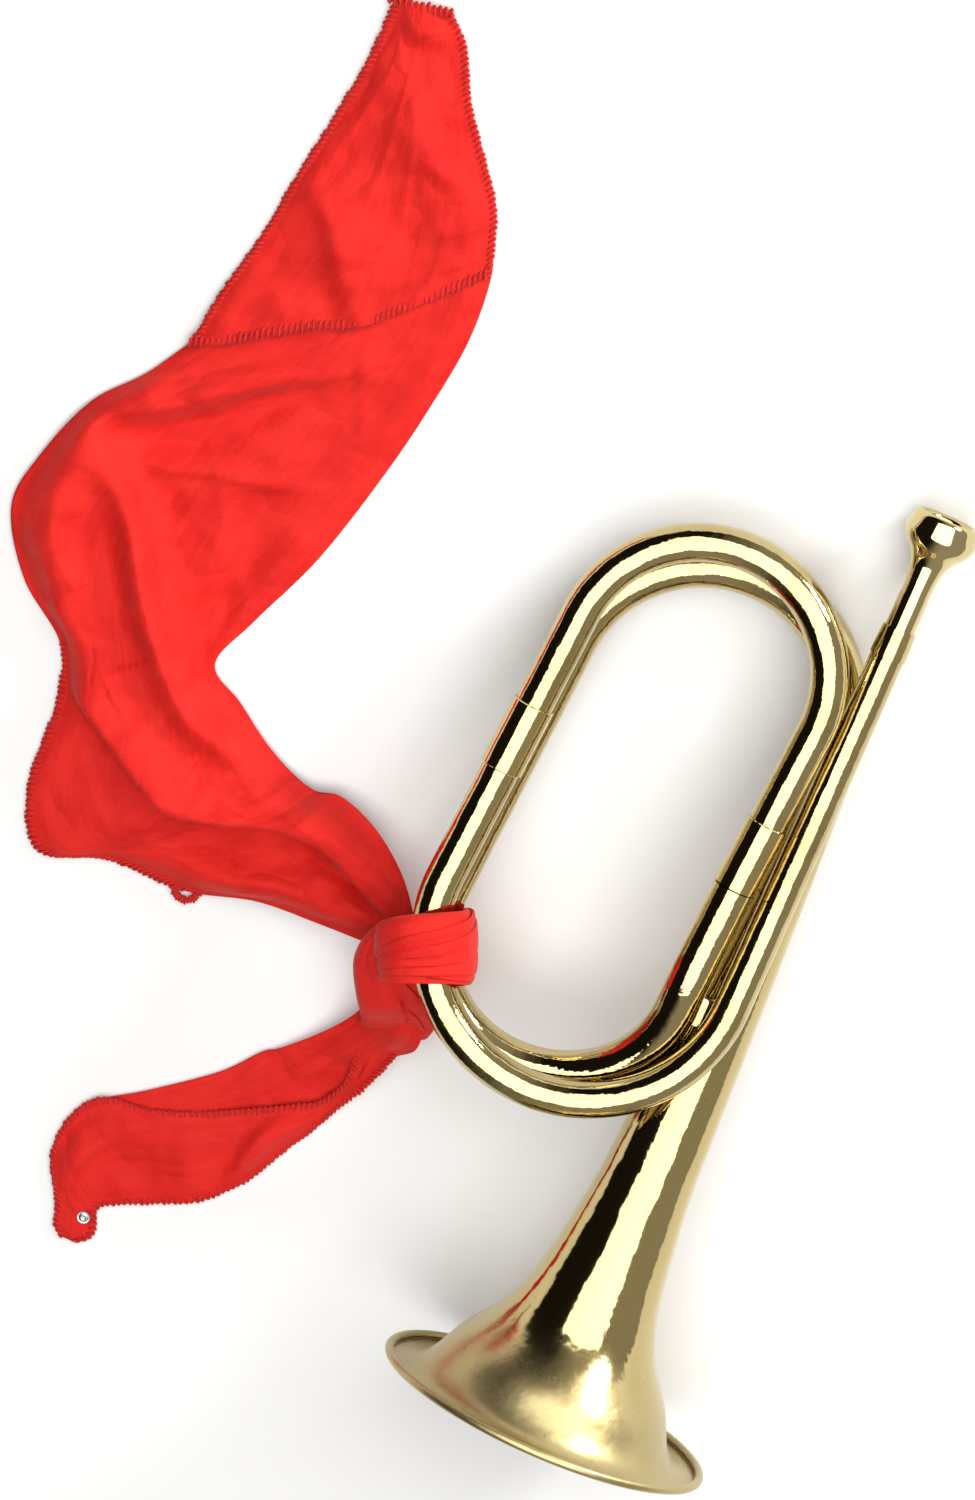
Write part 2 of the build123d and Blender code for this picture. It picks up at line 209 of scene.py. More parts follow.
softbox("key_softbox", (0.06, 0.20, 0.97), distance=3.4, width=4.2, length=5.2, radiance=3.2)
softbox("cross_lamp", (0.58, 0.76, 0.30), distance=3.0, width=0.7, length=0.9, radiance=38.0)

room_black = (0.012, 0.011, 0.010)
room_pale = (0.42, 0.40, 0.37)
world = bpy.data.worlds.new("studio")
bpy.context.scene.world = world
world.use_nodes = True
air = world.node_tree
way = Wire(air, air.nodes.new("ShaderNodeTexCoord").outputs["Generated"])
bell_side = between(way.node("SeparateXYZ", {0: way}, output=0), -0.40, 0.20)
room = mixed(bell_side, room_black, room_pale)
air.links.new(room.socket, air.nodes["Background"].inputs["Color"])


# ------------------------------------------------------------------------------------------ tubes
# Drawn brass tube, bent over a form, polished and lacquered. Bending leaves shallow waves in it,
# handling leaves hairlines and smudges, and the lacquer has browned in patches.
def brass(name, colour, roughness, dents, browned):
    """Polished brass: patches, specks, smudges, hairlines, and dents this many mm deep."""
    material, skin, place = new_finish(name)
    skin.inputs["Metallic"].default_value = 1.0
    skin.inputs["Coat Weight"].default_value = 0.25
    skin.inputs["Coat Roughness"].default_value = 0.08
    dull = tuple(c * s for c, s in zip(colour, (0.72, 0.62, 0.48)))
    dark = tuple(c * 0.35 for c in colour)
    patches = between(noise(place, 34.0, 5.0, 0.6), 0.50, 0.72)
    specks = between(noise(place, 620.0, 2.0), 0.70, 0.76)
    aged = mixed(patches * browned, colour, dull)
    feed(skin, "Base Color", mixed(specks * 0.55, aged, dark))
    smudges = between(noise(place, 90.0, 5.0, 0.7), 0.35, 0.75)
    feed(skin, "Roughness", smudges * (roughness * 0.8) + patches * (roughness * 0.5) + roughness * 0.3)
    drawn_out = place.node("Mapping", {"Vector": place, "Scale": (1.0, 0.05, 1.0)})
    hairlines = noise(drawn_out, 2400.0, 2.0)
    waves = bump(noise(place, 140.0, 3.0, 0.5), dents * mm)
    feed(skin, "Normal", bump(hairlines, 0.0012 * mm, waves))
    return material


def refinish(material, *names):
    """Gives one material to the frame's own pieces of these names."""
    for name in names:
        node = frame["nodes"][name]
        node.data.materials.clear()
        node.data.materials.append(material)
        for face in node.data.polygons:
            face.material_index = 0


refinish(brass("tube_brass", (0.53, 0.43, 0.20), roughness=0.11, dents=0.30, browned=0.5),
         "mouthpipe", "first_bow", "first_riser", "tuning_bow", "inner_downpipe", "second_bow",
         "second_riser", "crossover_bow")

# --------------------------------------------------------------- slide sleeves, receiver, mouthpiece
# The two sleeves and the receiver are short outer tubes, machined and polished brighter than the
# rest. The mouthpiece is turned from bar, so it is the smoothest piece on the horn.
refinish(brass("sleeve_brass", (0.58, 0.46, 0.20), roughness=0.09, dents=0.15, browned=0.3),
         "left_slide_sleeve", "right_slide_sleeve", "mouthpiece_receiver")
refinish(brass("mouthpiece_brass", (0.62, 0.51, 0.25), roughness=0.09, dents=0.03, browned=0.3),
         "mouthpiece_cup", "mouthpiece_shank")

# ------------------------------------------------------------------------------------------- bell
# Sheet brass, seamed and spun on a mandrel. It is bright along the stem and goes satin close to
# the rim, with fine lines left along it by the last rubbing. The rim is rolled over a steel wire.
bell_gold = (0.54, 0.43, 0.19)
bell_brown = (0.42, 0.31, 0.13)
bell_satin = (0.40, 0.33, 0.17)
bell_speck = (0.20, 0.14, 0.06)
satin_edge = 6 * mm
bright_edge = 36 * mm

bell_way = -Vector(frame["record"]["mounts"][0]["axis"]).normalized()
bell_drop = math.atan2(bell_way.z, bell_way.y)
rim_low, rim_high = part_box("rim_wire")
rim_middle = (rim_low + rim_high) / 2
bell_brass, skin, place = new_finish("bell_brass")
skin.inputs["Metallic"].default_value = 1.0
skin.inputs["Coat Weight"].default_value = 0.15
skin.inputs["Coat Roughness"].default_value = 0.12
from_middle = place.node("Mapping", {"Vector": place, "Location": tuple(-rim_middle)}, vector_type="POINT")
along_bell = place.node("Mapping", {"Vector": from_middle, "Rotation": (-bell_drop, 0, 0)})
from_rim = place.node("SeparateXYZ", {0: along_bell}, output=1)
satin = 1 - between(from_rim, satin_edge, bright_edge)
patches = between(noise(place, 30.0, 5.0, 0.62), 0.48, 0.72)
specks = between(noise(place, 560.0, 2.0), 0.68, 0.74)
gold = mixed(satin * 0.5, mixed(patches * 0.45, bell_gold, bell_brown), bell_satin)
feed(skin, "Base Color", mixed(specks * 0.4, gold, bell_speck))
drawn_out = place.node("Mapping", {"Vector": along_bell, "Scale": (1.0, 0.03, 1.0)})
rubbed = noise(drawn_out, 1500.0, 3.0, 0.6)
smudges = noise(place, 90.0, 4.0, 0.65)
feed(skin, "Roughness", satin * 0.22 + smudges * 0.08 + rubbed * (satin * 0.16) + 0.035)
waves = bump(noise(place, 90.0, 3.0, 0.45), 0.42 * mm)
feed(skin, "Normal", bump(rubbed, 0.004 * mm, waves))
refinish(bell_brass, "bell_stem", "bell_flare")

wire_steel, skin, place = new_finish("wire_steel")
skin.inputs["Metallic"].default_value = 1.0
feed(skin, "Base Color", mixed(noise(place, 200.0, 3.0), (0.42, 0.41, 0.40), (0.30, 0.28, 0.26)))
feed(skin, "Roughness", noise(place, 900.0, 2.0) * 0.25 + 0.25)
refinish(wire_steel, "rim_wire")

# ---------------------------------------------------------------------------------------- saddles
# Small brass blocks, soft-soldered between tubes that lie beside each other. The solder has run
# out grey and lumpy over them and was only wiped, never polished.
solder_gold = (0.55, 0.43, 0.20)
solder_grey = (0.50, 0.47, 0.40)

solder_brass, skin, place = new_finish("solder_brass")
skin.inputs["Metallic"].default_value = 1.0
runs = noise(place, 260.0, 4.0, 0.6)
feed(skin, "Base Color", mixed(between(runs, 0.42, 0.60), solder_gold, solder_grey))
feed(skin, "Roughness", runs * 0.30 + 0.22)
feed(skin, "Normal", bump(runs, 0.25 * mm))
refinish(solder_brass, "stem_saddle_upper", "stem_saddle_lower", "riser_saddle", "bow_saddle",
         "downpipe_saddle")

# --------------------------------------------------------------------------- kerchief, the long end
# A satin-woven cotton kerchief. Past the knot its long end lies on the table in folds. It is thin
# cloth, overlocked with thick red thread: each turn of the thread goes round the cut edge and a
# little way into the cloth, so the edge is rough and rope-like.
cloth_light = (0.66, 0.021, 0.014)
cloth_deep = (0.52, 0.009, 0.007)
cloth_thick = 0.4
weave_pitch = 0.42

red_cotton, skin, place = new_finish("red_cotton", "UV")
skin.inputs["Sheen Weight"].default_value = 0.12
skin.inputs["Sheen Roughness"].default_value = 0.4
skin.inputs["Sheen Tint"].default_value = (1.0, 0.45, 0.35, 1)
skin.inputs["Specular IOR Level"].default_value = 0.15
weave_scale = 2 * math.pi / (20 * weave_pitch * mm)
weave = {"Vector": place, "Scale": weave_scale, "Distortion": 0.6}
across_threads = place.node("TexWave", weave, output=1, bands_direction="X")
down_threads = place.node("TexWave", weave, output=1, bands_direction="Y")
threads = across_threads * down_threads
slubs = noise(place.node("Mapping", {"Vector": place, "Scale": (1.0, 0.06, 1.0)}), 700.0, 3.0)
cloudy = noise(place, 55.0, 4.0, 0.6)
dye = between(cloudy * 0.6 + slubs * 0.4, 0.36, 0.64)
feed(skin, "Base Color", mixed(dye * 0.6 + threads * 0.3, cloth_deep, cloth_light))
feed(skin, "Roughness", slubs * 0.25 + 0.55)
rumples = bump(noise(place, 110.0, 4.0, 0.6), 0.7 * mm)
pleats = noise(place, 42.0, 1.5, 0.5) - 0.5
creased = bump(abs(pleats), 5.0 * mm, rumples)
feed(skin, "Normal", bump(threads, 0.05 * mm, creased))

thread_light = (0.64, 0.022, 0.016)
thread_deep = (0.34, 0.007, 0.007)
red_thread, skin, place = new_finish("red_thread")
feed(skin, "Base Color", mixed(noise(place, 700.0, 3.0), thread_light, thread_deep))
feed(skin, "Roughness", noise(place, 1800.0, 2.0) * 0.3 + 0.5)
feed(skin, "Normal", bump(noise(place, 3000.0, 2.0), 0.08 * mm))
skin.inputs["Sheen Weight"].default_value = 0.08
skin.inputs["Specular IOR Level"].default_value = 0.12

# How the laid cloth behaves: how far from an edge its folds die away and how much of them is
# left there, its small rumples, and how close to the table it can lie, in mm
edge_softness = 5.0
left_at_edge = 0.12
rumple_count = 26
rumple_lengths = (7, 26)
rumple_rise = 0.0055
lowest = 0.45


def smooth(points, places):
    """Places on a smooth line through given points; place 1.5 is halfway from point 1 to 2."""
    points = np.array(points, float)
    ends = np.vstack((2 * points[0] - points[1], points, 2 * points[-1] - points[-2]))
    first = np.clip(np.floor(places).astype(int), 0, len(points) - 2)
    t = (np.asarray(places) - first)[:, None]
    a, b, c, d = ends[first], ends[first + 1], ends[first + 2], ends[first + 3]
    return 0.5 * (2 * b + (c - a) * t + (2 * a - 5 * b + 4 * c - d) * t**2
                  + (3 * b - a - 3 * c + d) * t**3)


def fold(ground, path, left, right, sharp=False):
    """How far a fold lifts each place of the ground: its path is (x, y, height), and left and
    right are how far it spreads on each side of its path."""
    path = smooth(path, np.linspace(0, len(path) - 1, 6 * len(path)))
    lift = np.zeros(len(ground))
    nearest = np.full(len(ground), 1e9)
    for start, end in zip(path[:-1], path[1:]):
        run = end[:2] - start[:2]
        length = max(float(run @ run), 1e-9)
        off = ground - start[:2]
        share = np.clip(off @ run / length, 0, 1)
        gap = off - share[:, None] * run
        distance = np.hypot(gap[:, 0], gap[:, 1])
        side = run[0] * off[:, 1] - run[1] * off[:, 0]
        spread = np.where(side > 0, left, right)
        height = start[2] + (end[2] - start[2]) * share
        shape = np.exp(-distance / spread) if sharp else np.exp(-((distance / spread) ** 2))
        closer = distance < nearest
        lift = np.where(closer, height * shape, lift)
        nearest = np.minimum(nearest, distance)
    return lift


def grid_cloth(name, rows, columns):
    """A flat grid to be laid out: the object, and each vertex's share across and down it."""
    deselect()
    bpy.ops.mesh.primitive_grid_add(x_subdivisions=columns, y_subdivisions=rows, size=1)
    cloth = bpy.context.object
    cloth.name = name
    co = np.zeros(len(cloth.data.vertices) * 3)
    cloth.data.vertices.foreach_get("co", co)
    co = co.reshape(-1, 3)
    return cloth, co[:, 0] + 0.5, 0.5 - co[:, 1]


def set_cloth(cloth, places, width, length):
    """Moves the grid's vertices to their places, and gives its threads their real size."""
    cloth.data.vertices.foreach_set("co", (np.asarray(places) * mm).ravel())
    uv = np.zeros(len(cloth.data.loops) * 2)
    cloth.data.uv_layers[0].data.foreach_get("uv", uv)
    uv = uv.reshape(-1, 2) * (width * mm, length * mm)
    cloth.data.uv_layers[0].data.foreach_set("uv", uv.ravel())
    cloth.data.update()


def lay_cloth(name, left, right, rows, columns, folds, puff, seed, foot=None):
    """Cloth laid between two edges, each a list of (x, y, height), then lifted by its folds.
    A foot is the line that the cloth's lower end follows, where that isn't straight."""
    cloth, across, down = grid_cloth(name, rows, columns)
    places = down * (len(left) - 1)
    start = smooth(left, places)
    end = smooth(right, places)
    laid = start + (end - start) * across[:, None]
    if foot is not None:
        foot_start = np.array(left[-1])
        foot_end = np.array(right[-1])
        straight = foot_start + (foot_end - foot_start) * across[:, None]
        laid += (smooth(foot, across * (len(foot) - 1)) - straight) * (down**3)[:, None]
    width = np.linalg.norm(end - start, axis=1)
    from_edge = np.minimum(across, 1 - across) * width
    inner = 1 - np.exp(-((from_edge / edge_softness) ** 2))
    lift = puff * inner
    kept = left_at_edge + (1 - left_at_edge) * inner
    for path, to_left, to_right, sharp in folds:
        lift = lift + fold(laid[:, :2], path, to_left, to_right, sharp) * kept
    random.seed(seed)
    for wave in range(rumple_count):
        turn = random.uniform(0, math.pi)
        length = random.uniform(*rumple_lengths)
        shift = random.uniform(0, 6)
        phase = (laid[:, 0] * math.cos(turn) + laid[:, 1] * math.sin(turn)) / length * 2 * math.pi
        lift = lift + rumple_rise * length * np.sin(phase + shift) * inner
    laid[:, 2] += np.maximum(lift, lowest - laid[:, 2])
    edge_length = sum(math.dist(a[:2], b[:2]) for a, b in zip(left[:-1], left[1:]))
    set_cloth(cloth, laid, float(width.mean()), edge_length)
    return cloth


def finish_cloth(cloth):
    """Gives the sheet its thickness and rides it on the horn."""
    deselect()
    cloth.select_set(True)
    bpy.context.view_layer.objects.active = cloth
    thickness = cloth.modifiers.new("thickness", "SOLIDIFY")
    thickness.thickness = cloth_thick * mm
    thickness.offset = 0
    bpy.ops.object.modifier_apply(modifier=thickness.name)
    bpy.ops.object.shade_smooth()
    cloth.data.materials.append(red_cotton)
    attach(cloth, "horn")


def overlock(name, edge, inward, seed, half_width=1.45, half_height=0.6, pitch=1.75, thread=0.46):
    """Thread wound round a cloth's edge, given the edge's places and the way into the cloth."""
    random.seed(seed)
    steps = np.linalg.norm(np.diff(edge, axis=0), axis=1)
    run = np.concatenate(([0], np.cumsum(steps)))
    corners = 8
    count = int(run[-1] / pitch * corners)
    at = np.linspace(0, run[-1], count)
    places = np.stack([np.interp(at, run, edge[:, k]) for k in range(3)], 1)
    into = np.stack([np.interp(at, run, inward[:, k]) for k in range(3)], 1)
    into /= np.linalg.norm(into, axis=1)[:, None]
    turns = int(run[-1] / pitch) + 2
    wide = np.repeat([random.uniform(0.72, 1.25) for turn in range(turns)], corners)[:count]
    angle = at / pitch * 2 * math.pi
    middle = places + into * half_width * 0.75
    wound = middle - into * (np.cos(angle) * half_width * wide)[:, None]
    wound[:, 2] += np.sin(angle) * half_height + half_height * 0.35
    wound[:, 2] = np.maximum(wound[:, 2], thread * 1.05)
    line = bpy.data.curves.new(name, "CURVE")
    line.dimensions = "3D"
    line.bevel_depth = thread * mm
    line.bevel_resolution = 0
    line.use_fill_caps = True
    spline = line.splines.new("POLY")
    spline.points.add(count - 1)
    spline.points.foreach_set("co", np.hstack((wound * mm, np.ones((count, 1)))).ravel())
    holder = bpy.data.objects.new(name + "_line", line)
    bpy.context.scene.collection.objects.link(holder)
    bpy.context.view_layer.update()
    mesh = bpy.data.meshes.new_from_object(holder)
    bpy.data.objects.remove(holder)
    hem = bpy.data.objects.new(name, mesh)
    bpy.context.scene.collection.objects.link(hem)
    mesh.materials.clear()
    mesh.materials.append(red_thread)
    for face in mesh.polygons:
        face.use_smooth = True
    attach(hem, "horn")
    return hem


def side_edge(left, right, first, last, from_left=True):
    """The run of a laid cloth's edge between two of its rows, and the way into the cloth."""
    places = np.linspace(first, last, int((last - first) * 30))
    one, other = smooth(left, places), smooth(right, places)
    if not from_left:
        one, other = other, one
    return one, other - one


body_left = [
    (-113, 93, 1), (-123, 80.9, 1), (-132.7, 64.7, 1), (-144.6, 49.8, 1), (-152.2, 28.6, 1.2),
    (-154.5, 9.1, 1.2), (-142.3, -11, 1.2), (-124.5, -25.9, 1), (-118.5, -44.4, 1),
    (-116.2, -73.4, 1), (-105.8, -90.6, 1), (-85.3, -84.3, 1), (-60.7, -84, 1.5),
    (-38.9, -76.5, 5), (-18.5, -72.5, 12), (-2.1, -68.1, 22), (4, -65.2, 27),
]
body_right = [
    (-56, 147, 1), (-50.3, 137.1, 1), (-48.3, 115, 1.2), (-50.8, 90.9, 1.2), (-55.3, 64.8, 1.2),
    (-63.2, 32.2, 1.2), (-73.4, 5.6, 1.2), (-79.2, -12.3, 1.5), (-67.6, -20.4, 1.5),
    (-55.8, -28.8, 1.5), (-45.2, -34.2, 2), (-36.1, -36, 4), (-27.9, -33.9, 6),
    (-15.2, -37.5, 10), (-3.4, -44.2, 17), (4.2, -51.3, 24), (7, -56, 27),
]
body_folds = [
    # the long crest down the left, and the ridge that crosses to the waist
    ([(-138, 60, 3), (-146, 46, 7), (-142.7, 31, 8), (-140.5, 11.6, 8), (-135.2, 0.4, 7),
      (-122, -15, 5), (-112, -24, 3)], 13, 8, False),
    ([(-140, 42.5, 1), (-125.5, 30, 7), (-116, 17.4, 10), (-105.2, -0.4, 11), (-94.9, -12.6, 11),
      (-82.2, -24.1, 11), (-71.8, -30, 9), (-53.7, -34.8, 5)], 3.8, 6.0, False),
    # the shallow hollow below the turned-back corner, and the crest above it
    ([(-133.4, 43.3, -3), (-117.4, 50.6, -5), (-104.9, 61.7, -5), (-91.4, 76.7, -3.5),
      (-76.6, 88.7, -1)], 6, 7, False),
    ([(-131.4, 54.5, 4), (-122, 62, 6), (-98.3, 78.5, 5), (-74.3, 93.7, 2)], 7, 4.5, False),
    # creases and small hollows in the middle
    ([(-137, 41, 0), (-119, 39.7, 2.2), (-100.4, 45.7, 3.0), (-84.8, 48.6, 2.4), (-64.6, 55.4, 0.6)],
     5, 1.8, True),
    ([(-80.8, 42, -1), (-84.6, 7.6, -3.5), (-82.9, -14, -4)], 7, 7, False),
    ([(-76, 97.8, 0.3), (-73.2, 90.6, 0.9), (-64.1, 69, 0.3)], 6, 1.5, True),
    ([(-110.6, 32, -1.5), (-110, 27, -1.5)], 3, 3, False),
    ([(-124, 74, 0.3), (-100, 60, 0.9), (-70, 62, 0.2)], 1.5, 3.5, True),
    ([(-116, 62, 0.2), (-96, 36, 1.0), (-92, 8, 0.4)], 3.0, 1.4, True),
    ([(-104, 30, 0.2), (-88, 22, 0.8), (-76, 8, 0.2)], 1.4, 3.0, True),
    ([(-108, 96, 0.2), (-84, 100, 0.9), (-60, 110, 0.3)], 1.2, 2.6, True),
    ([(-148, 30, 0.3), (-138, 6, 1.0), (-118, -12, 0.3)], 2.0, 1.4, True),
    ([(-112, -48, 0.3), (-100, -62, 1.0), (-84, -78, 0.2)], 1.5, 2.8, True),
    ([(-70, -46, 0.3), (-50, -42, 1.2), (-30, -44, 0.8)], 2.0, 1.2, True),
    # the steep lip over the dark hollow, and the gathers that run into the knot
    ([(-120, -27, 3), (-114, -34.5, 9), (-98, -44.5, 14), (-82.1, -53.4, 15), (-73, -56, 12),
      (-62.4, -54, 7)], 20, 2.4, False),
    ([(-75, -56, 4), (-58.6, -51.8, 8), (-44.3, -47.4, 10), (-32.3, -46.4, 10), (-21.8, -48.5, 8),
      (-12.4, -53.2, 5), (-1.7, -57.6, 1)], 8, 2.4, False),
    ([(-94, -72.7, 1), (-74.6, -71.5, 3), (-58.9, -72.9, 5), (-45.1, -69.3, 6), (-31.3, -65, 6),
      (-16.7, -62.7, 4), (-4.8, -60.9, 1)], 5, 7, False),
    ([(-66.6, -42, 2), (-48.1, -38.5, 3), (-32, -39.5, 4), (-18.6, -42.5, 4), (-6, -48.5, 2)],
     5, 5, False),
    ([(-30, -55, -2), (-18, -56, -4), (-8, -58, -4), (0, -60, -2)], 2, 2, False),
]
long_end = lay_cloth("scarf_long_end", body_left, body_right, 240, 84, body_folds, puff=2.6, seed=3)
finish_cloth(long_end)
body_hem = overlock("scarf_long_end_hem", *side_edge(body_left, body_right, 7, 12), seed=4)

# A small ring is crocheted onto the long end's lower corner, in the same thread.
ring_radius = 3.6
ring_inset = 0.8
ring_low, ring_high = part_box("scarf_loop")
ring_middle = np.array((ring_low + ring_high) / 2) / mm
turns = np.linspace(0, 2 * math.pi, 120)
ring_way = np.stack((-np.cos(turns), -np.sin(turns), 0 * turns), 1)
ring_line = ring_middle - ring_way * (ring_radius + ring_inset)
ring = overlock("scarf_ring", ring_line, ring_way, seed=12, half_width=1.0, half_height=0.8,
                pitch=0.95, thread=0.42)
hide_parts("scarf_long_tail")
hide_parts("scarf_loop")

# ---------------------------------------------------------------------- kerchief, the turned corner
# The long end's last corner is turned back over the rest, so that two layers of the cloth lie on
# each other. It is overlocked on its four sides like the edge below it.
corner_left = [
    (-108.5, 203.5, 1.6), (-108.9, 183.2, 1.2), (-110.8, 166.4, 1), (-114.6, 139.9, 1),
    (-117.6, 117.3, 1), (-121.7, 97.8, 1.8), (-124.3, 78.6, 2.6),
]
corner_right = [
    (-92.6, 206, 1.6), (-84.4, 197.9, 1), (-76.2, 182.2, 1), (-68.5, 171.6, 1),
    (-57.8, 157, 1.4), (-53.5, 146.6, 2.4), (-50.3, 135.7, 3),
]
corner_foot = [
    (-124.3, 78.6, 2.6), (-115.7, 83.5, 4), (-106.9, 90, 4.5), (-94.1, 98.7, 4.5),
    (-80.6, 105.9, 4.5), (-71.1, 114.6, 4.5), (-61.9, 124.1, 4), (-50.3, 135.7, 3),
]
corner_tip = [(-111, 203, 1.8), (-101, 205, 2.6), (-91.5, 206.6, 1.8)]
corner_folds = [
    ([(-117.7, 147.3, 0.8), (-110.5, 140.4, 2.2), (-100.5, 132.2, 4.4), (-84.6, 110.8, 2.4)],
     10, 4, False),
    ([(-96.7, 183, 2), (-90.4, 172.9, 4.6), (-79.3, 162, 4.6), (-71.1, 158, 3), (-60, 153, 1)],
     4, 10, False),
    ([(-68.4, 139.8, 0.8), (-66, 142.7, 1.6), (-56, 151.3, 0.8)], 2.5, 2, True),
    ([(-104, 200, 1), (-98, 197, 2), (-90, 199, 1)], 3, 4, False),
    ([(-112, 108, 0.5), (-103, 101, 1.2), (-99, 95, 0.8)], 3, 4, False),
    ([(-101, 196, 0.2), (-103, 172, 0.9), (-108, 150, 0.2)], 2.5, 1.2, True),
    ([(-97, 192, 0.2), (-93, 160, 1.0), (-91, 128, 0.3)], 1.3, 3.0, True),
    ([(-90, 178, 0.3), (-82, 146, 0.9), (-76, 122, 0.2)], 1.2, 2.6, True),
    ([(-104, 118, 0.2), (-96, 124, 0.8), (-84, 126, 0.2)], 2.2, 1.0, True),
    ([(-70, 116, 0.2), (-66, 130, 0.8), (-69, 150, 0.2)], 1.2, 2.2, True),
]
turned_corner = lay_cloth("scarf_turned_corner", corner_left, corner_right, 110, 56, corner_folds,
                          puff=1.2, seed=8, foot=corner_foot)
finish_cloth(turned_corner)

last_row = len(corner_left) - 1
corner_edge = side_edge(corner_left, corner_right, 0, last_row)
corner_hem_left = overlock("scarf_corner_left_hem", *corner_edge, seed=5)
corner_edge = side_edge(corner_left, corner_right, 0, last_row, from_left=False)
corner_hem_right = overlock("scarf_corner_right_hem", *corner_edge, seed=6, half_width=0.9)
steps = 200
foot_line = smooth(corner_foot, np.linspace(0, len(corner_foot) - 1, steps))
foot_line[:, 2] += 0.3 + 1.2 * np.sin(np.linspace(0, math.pi, steps))
foot_way = np.tile((-0.45, 0.85, 0.0), (steps, 1))
corner_hem_foot = overlock("scarf_corner_foot_hem", foot_line, foot_way, seed=7)
steps = 40
tip_line = smooth(corner_tip, np.linspace(0, len(corner_tip) - 1, steps))
tip_way = np.tile((0.1, -1.0, 0.0), (steps, 1))
head_hem = overlock("scarf_corner_tip_hem", tip_line, tip_way, seed=8)

# -------------------------------------------------------------------------- kerchief, the short end
# The short end hangs down from the knot and lies on the table in two layers. This is the lower
# one, the back of the cloth.
back_left = [
    (-0.5, -81.5, 22), (3.0, -89.3, 16), (0.6, -99.2, 9), (-5.9, -109.8, 4.5), (-14, -119.3, 2),
    (-18.7, -123.2, 1.2), (-28, -134.8, 1), (-45.8, -149.7, 1), (-57, -157.5, 1),
]
back_right = [
    (22.8, -86.8, 22), (23.3, -96.7, 16), (18.3, -104.6, 9), (13, -114, 4), (8, -125, 1.5),
    (2, -134, 1), (-9, -143, 1), (-26, -154, 1), (-46, -163, 1),
]
back_folds = [
    ([(-18.6, -127.3, 1.8), (-23.9, -141.4, 1)], 3, 2, True),
    ([(8, -88, 3), (8, -100, 3), (2, -112, 2), (-6, -124, 1.5), (-22, -139, 1)], 4, 4, False),
    ([(17, -90, 3), (15, -101, 3), (9, -112, 1)], 3, 3, False),
]
short_end = lay_cloth("scarf_short_end", back_left, back_right, 110, 34, back_folds, puff=1.0, seed=5)
finish_cloth(short_end)
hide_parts("scarf_short_tail")

# ------------------------------------------------------------------------- kerchief, the short leaf
# The upper layer of the short end is a leaf, overlocked along both sides, that ends in a small
# rounded tab. A pressed steel stud, with its prongs folded in, is set in the tab.
leaf_left = [
    (5.5, -101, 11), (7.2, -108, 7.5), (8.2, -117.2, 4.8), (7.6, -122.8, 3.8), (3.3, -130.1, 3.4),
    (-6, -136.1, 3.2), (-18.2, -143.1, 3.2), (-29.8, -149.4, 3), (-43.7, -154.8, 2.6),
    (-55.4, -156.5, 2), (-62, -162, 1.2), (-65.4, -172, 1), (-65, -182, 1), (-61, -190.5, 1),
    (-57.5, -197, 1), (-56, -202.4, 1), (-52.6, -206, 1),
]
leaf_right = [
    (19, -101, 12), (18.2, -106, 9.5), (14.8, -118.5, 5.2), (10.5, -128.2, 3), (5.5, -140, 1.4),
    (-1, -152.9, 1), (-5.1, -161.9, 1), (-9.6, -168.5, 1), (-18.1, -177.4, 1), (-28, -182.6, 1),
    (-37, -187, 1), (-43.4, -190.6, 1), (-45.4, -193, 1), (-44.6, -196.5, 1), (-43.6, -199.5, 1),
    (-43.8, -202.6, 1), (-47.2, -206, 1),
]
leaf_folds = [
    ([(-4.2, -138, 2.5), (-9.1, -149.9, 4), (-10, -158, 3.6), (-12.2, -171.8, 1.5)], 6, 2.4, False),
    ([(-38, -156.5, 1.5), (-46, -161, 2.4), (-53, -170.5, 2.6), (-58, -181, 2.6), (-58, -188, 1.5)],
     2.6, 6, False),
    ([(-30, -157, 1.5), (-24, -165, 2.4), (-18, -170, 1)], 6, 8, False),
    ([(-50, -184, -1), (-44, -176, -1.5), (-30, -172, -1)], 5, 5, False),
    ([(10, -106, 1.5), (12, -115, 1.5), (7, -128, 1)], 2, 3, True),
]
short_leaf = lay_cloth("scarf_short_leaf", leaf_left, leaf_right, 130, 44, leaf_folds, puff=1.6, seed=11)
finish_cloth(short_leaf)

out_of_knot = 0.4
last_row = len(leaf_left) - 1
leaf_edge = side_edge(leaf_left, leaf_right, out_of_knot, last_row)
leaf_hem_left = overlock("scarf_leaf_upper_hem", *leaf_edge, seed=9, half_width=1.1)
leaf_edge = side_edge(leaf_left, leaf_right, out_of_knot, last_row, from_left=False)
leaf_hem_right = overlock("scarf_leaf_lower_hem", *leaf_edge, seed=10, half_width=1.1)

stud_radius = 2.0
stud_depth = 0.5
stud_height = 2.3
stud_pressings = ((0.5, -0.18), (0.6, 0.45), (0.35, -0.25))
stud_bright = (0.62, 0.61, 0.60)
stud_dark = (0.34, 0.33, 0.32)

